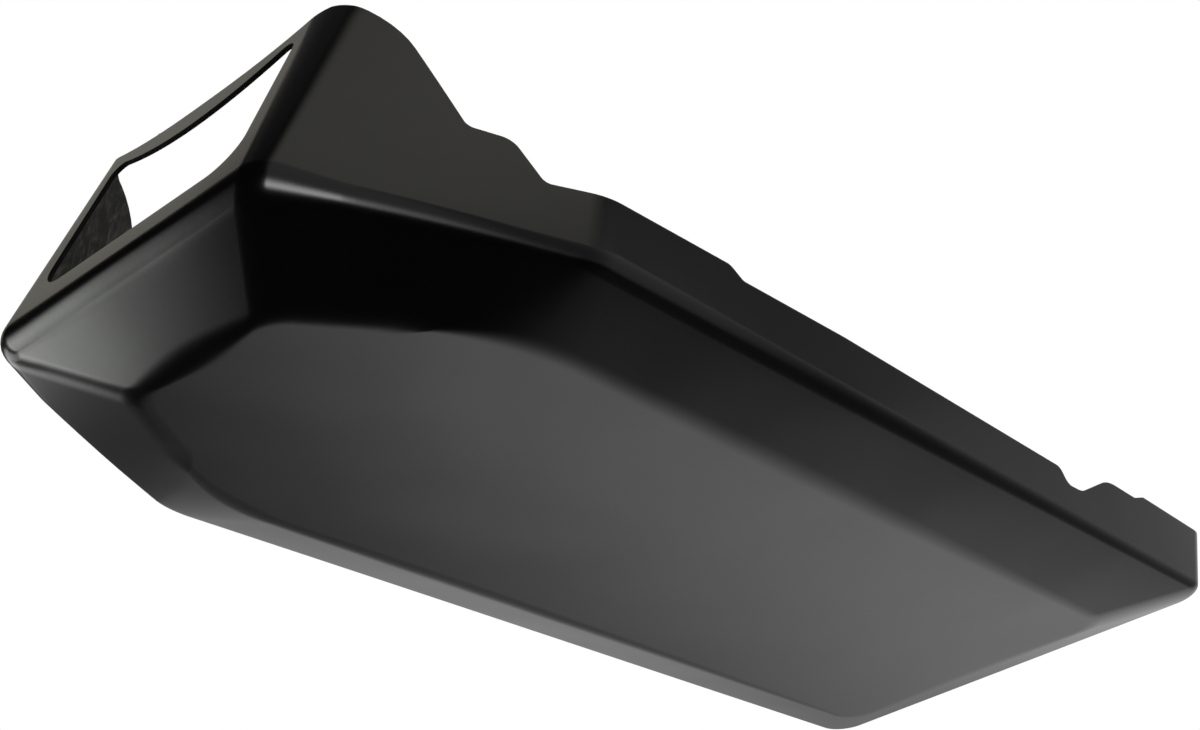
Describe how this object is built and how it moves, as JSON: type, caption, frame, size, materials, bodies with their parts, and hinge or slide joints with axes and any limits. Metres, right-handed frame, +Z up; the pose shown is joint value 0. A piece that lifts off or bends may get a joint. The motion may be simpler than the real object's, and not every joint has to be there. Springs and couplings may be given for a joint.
{
  "type": "motorcycle belly pan",
  "caption": "Shallow moulded belly pan with sloped sides, a flat underside and a raked front face with a large rounded air opening.",
  "frame": {"origin": "centre of the bounding box at the height of the flat underside", "axes": "+Z up; -Y towards the front face with the air opening, +Y towards the rear; X across, mirror-symmetric about X = 0"},
  "size_m": [0.317, 0.7897, 0.1646],
  "materials": {
    "shell": "satin black gel coat outside, bare laminate inside"
  },
  "bodies": {
    "root": {"belly_pan": "shell"}
  },
  "joints": []
}
